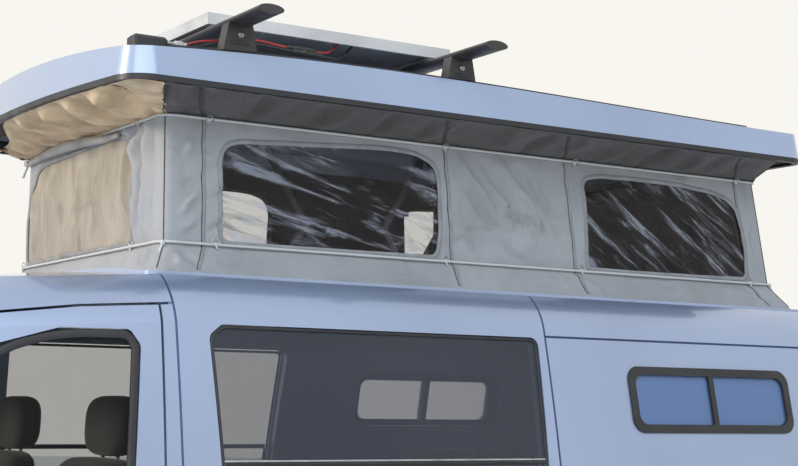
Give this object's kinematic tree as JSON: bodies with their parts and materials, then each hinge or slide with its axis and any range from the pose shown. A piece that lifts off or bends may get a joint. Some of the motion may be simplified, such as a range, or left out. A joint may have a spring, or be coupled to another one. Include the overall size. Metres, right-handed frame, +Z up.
{
  "type": "camper van with pop-top roof",
  "caption": "Camper van with a lifting pop-top roof over a canvas tent, side and caravan windows, roof bars and a solar panel, opening cab doors, hood and tailgate, steered and rolling wheels.",
  "frame": {"origin": "on the ground below the middle of the van's box", "axes": "+Z up, -Y towards the van's front, +X towards its left side"},
  "size_m": [2.28, 5.1394, 2.635],
  "materials": {
    "paint": "metallic, gloss",
    "roof_gelcoat": "gloss gelcoat",
    "underbody": "satin black",
    "black_plastic": "grained",
    "dark_plastic": "grained",
    "lamp_clear": "clear lens",
    "lamp_red": "red lens",
    "glass": "clear",
    "dark_glass": "tinted",
    "seat_fabric": "woven",
    "bench_fabric": "woven",
    "cast_metal": "cast",
    "steel": "zinc plated",
    "aluminium": "satin",
    "canvas": "coated woven canvas",
    "cord": "braided elastic",
    "rubber": "matte",
    "liner": "satin",
    "track": "black anodised",
    "black_bar": "black anodised",
    "panel_frame": "anodised",
    "lead_red": "cable sheath",
    "lead_black": "cable sheath",
    "tyre": "rubber",
    "rim_alloy": "painted alloy"
  },
  "bodies": {
    "root": {"floor_pan": "underbody", "body_frame": "paint", "roof_panel": "paint", "side_panel_left": "paint", "sliding_door_right": "paint", "quarter_panels": "paint", "front_wings": "paint", "front_bumper": "paint", "rear_bumper": "paint", "grille": "black_plastic", "headlamps": "lamp_clear", "tail_lamps": "lamp_red", "windscreen": "glass", "side_glass": "dark_glass", "rv_window_frames": "black_plastic", "dashboard": "dark_plastic", "steering_wheel": "dark_plastic", "cab_seats": "seat_fabric", "rear_bench": "bench_fabric", "engine_block": "cast_metal", "exhaust": "steel", "fuel_tank": "black_plastic", "front_subframe": "underbody", "rear_axle": "underbody", "tent_base": "aluminium", "lift_ears": "steel", "canvas_tent": "canvas", "tent_cords": "cord"},
    "hood": {"hood": "paint"},
    "door_left": {"front_door_left": "paint", "door_glass_left": "glass", "mirror_left": "paint"},
    "door_right": {"front_door_right": "paint", "door_glass_right": "glass", "mirror_right": "paint"},
    "tailgate": {"tailgate": "paint", "tailgate_glass": "dark_glass"},
    "knuckle_left": {"knuckle_left": "cast_metal"},
    "knuckle_right": {"knuckle_right": "cast_metal"},
    "wheel_front_left": {"tyre_front_left": "tyre", "rim_front_left": "rim_alloy"},
    "wheel_front_right": {"tyre_front_right": "tyre", "rim_front_right": "rim_alloy"},
    "wheel_rear_left": {"tyre_rear_left": "tyre", "rim_rear_left": "rim_alloy"},
    "wheel_rear_right": {"tyre_rear_right": "tyre", "rim_rear_right": "rim_alloy"},
    "lift_lower_front": {"lift_lower_front": "steel"},
    "lift_upper_front": {"lift_upper_front": "steel"},
    "lift_lower_rear": {"lift_lower_rear": "steel"},
    "lift_upper_rear": {"lift_upper_rear": "steel"},
    "pop_top": {"roof_shell": "roof_gelcoat", "roof_seal": "rubber", "roof_liner": "liner", "roof_tracks": "track", "crossbars": "black_bar", "solar_panel": "panel_frame", "cable_entry": "black_plastic", "solar_lead_red": "lead_red", "solar_lead_black": "lead_black"}
  },
  "joints": [
    {"name": "hood_hinge", "type": "hinge", "parent": "root", "child": "hood", "pos_m": [0, -1.697, 1.24], "axis": [-1, 0, 0], "range_deg": [0, 50]},
    {"name": "door_left_hinge", "type": "hinge", "parent": "root", "child": "door_left", "pos_m": [0.94, -1.37, 1], "axis": [0, 0, -1], "range_deg": [0, 65]},
    {"name": "door_right_hinge", "type": "hinge", "parent": "root", "child": "door_right", "pos_m": [-0.94, -1.37, 1], "axis": [0, 0, 1], "range_deg": [0, 65]},
    {"name": "tailgate_hinge", "type": "hinge", "parent": "root", "child": "tailgate", "pos_m": [0, 2.464, 1.8185], "axis": [1, 0, 0], "range_deg": [0, 88]},
    {"name": "steer_left", "type": "hinge", "parent": "root", "child": "knuckle_left", "pos_m": [0.725, -1.675, 0.215], "axis": [-0.1657, 0, 0.9862], "range_deg": [-33, 33]},
    {"name": "steer_right", "type": "hinge", "parent": "root", "child": "knuckle_right", "pos_m": [-0.725, -1.675, 0.215], "axis": [0.1657, 0, 0.9862], "range_deg": [-33, 33]},
    {"name": "spin_front_left", "type": "hinge", "parent": "knuckle_left", "child": "wheel_front_left", "pos_m": [0.833, -1.675, 0.3395], "axis": [1, 0, 0], "continuous": true},
    {"name": "spin_front_right", "type": "hinge", "parent": "knuckle_right", "child": "wheel_front_right", "pos_m": [-0.833, -1.675, 0.3395], "axis": [1, 0, 0], "continuous": true},
    {"name": "spin_rear_left", "type": "hinge", "parent": "root", "child": "wheel_rear_left", "pos_m": [0.823, 1.525, 0.3395], "axis": [1, 0, 0], "continuous": true},
    {"name": "spin_rear_right", "type": "hinge", "parent": "root", "child": "wheel_rear_right", "pos_m": [-0.823, 1.525, 0.3395], "axis": [1, 0, 0], "continuous": true},
    {"name": "roof_lift", "type": "hinge", "parent": "root", "child": "lift_lower_front", "pos_m": [0, 0.675, 1.906], "axis": [1, 0, 0], "range_deg": [-49.75, 0], "deforming": ["canvas_tent", "tent_cords"]},
    {"name": "knee_front", "type": "hinge", "parent": "lift_lower_front", "child": "lift_upper_front", "pos_m": [0, 0.84357, 2.178], "axis": [1, 0, 0], "range_deg": [0, 99.5]},
    {"name": "roof_level", "type": "hinge", "parent": "lift_upper_front", "child": "pop_top", "pos_m": [0, 0.675, 2.45], "axis": [1, 0, 0], "range_deg": [-49.75, 0]},
    {"name": "lift_rear", "type": "hinge", "parent": "root", "child": "lift_lower_rear", "pos_m": [0, 1.355, 1.906], "axis": [1, 0, 0], "range_deg": [0, 49.75]},
    {"name": "knee_rear", "type": "hinge", "parent": "lift_lower_rear", "child": "lift_upper_rear", "pos_m": [0, 1.18643, 2.178], "axis": [1, 0, 0], "range_deg": [-99.5, 0]}
  ],
  "couplings": [
    {"joint": "steer_right", "follows": "steer_left", "ratio": 1},
    {"joint": "knee_front", "follows": "roof_lift", "ratio": -2},
    {"joint": "roof_level", "follows": "roof_lift", "ratio": 1},
    {"joint": "lift_rear", "follows": "roof_lift", "ratio": -1},
    {"joint": "knee_rear", "follows": "roof_lift", "ratio": 2}
  ]
}
